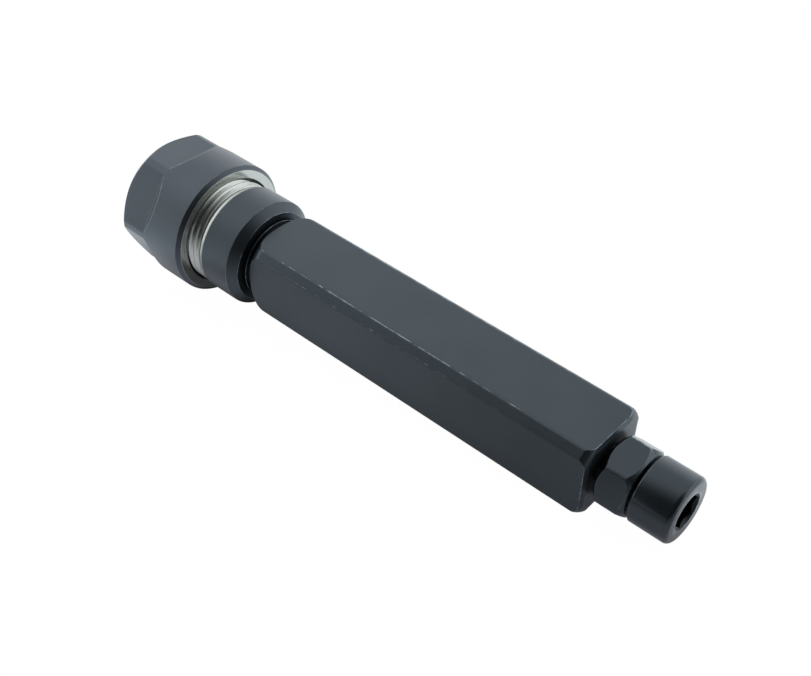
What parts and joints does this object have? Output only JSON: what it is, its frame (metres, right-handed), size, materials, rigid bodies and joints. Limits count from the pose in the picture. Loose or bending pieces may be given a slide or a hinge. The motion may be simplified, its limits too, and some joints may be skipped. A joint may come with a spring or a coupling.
{
  "type": "collet chuck",
  "caption": "Square-shank spring collet chuck with a hexagon clamping nut in front and a back stop screw with lock nut behind.",
  "frame": {"origin": "centre of the tool bore at the spring collet's front face", "axes": "+X along the common axis towards the rear screw, +Z out of the shank's top flat, -Y out of its near flat"},
  "size_m": [0.1294, 0.028, 0.028],
  "materials": {
    "body_steel": "black oxide over hardened steel, bright bare thread, worn edges",
    "nut_steel": "black oxide over turned steel, worn edges",
    "collet_steel": "ground and polished spring steel",
    "screw_steel": "black oxide high-strength steel"
  },
  "bodies": {
    "holder": {"chuck_body": "body_steel"},
    "collet": {"spring_collet": "collet_steel"},
    "nut": {"clamping_nut": "nut_steel"},
    "locknut": {"lock_nut": "screw_steel"},
    "stop": {"stop_screw": "screw_steel"}
  },
  "joints": [
    {"name": "collet_travel", "type": "slide", "parent": "holder", "child": "collet", "axis": [1, 0, 0], "range_m": [-0.0075, 0]},
    {"name": "nut_turn", "type": "hinge", "parent": "collet", "child": "nut", "pos_m": [0, 0, 0], "axis": [1, 0, 0], "range_deg": [-1805, 0]},
    {"name": "stop_travel", "type": "slide", "parent": "holder", "child": "locknut", "axis": [1, 0, 0], "range_m": [-0.00065, 0.0125]},
    {"name": "stop_turn", "type": "hinge", "parent": "locknut", "child": "stop", "pos_m": [0.118, 0, 0], "axis": [1, 0, 0], "range_deg": [-190, 3605]}
  ],
  "couplings": [
    {"joint": "nut_turn", "follows": "collet_travel", "rad_per_m": 4188.8},
    {"joint": "stop_turn", "follows": "stop_travel", "rad_per_m": 5026.5}
  ]
}
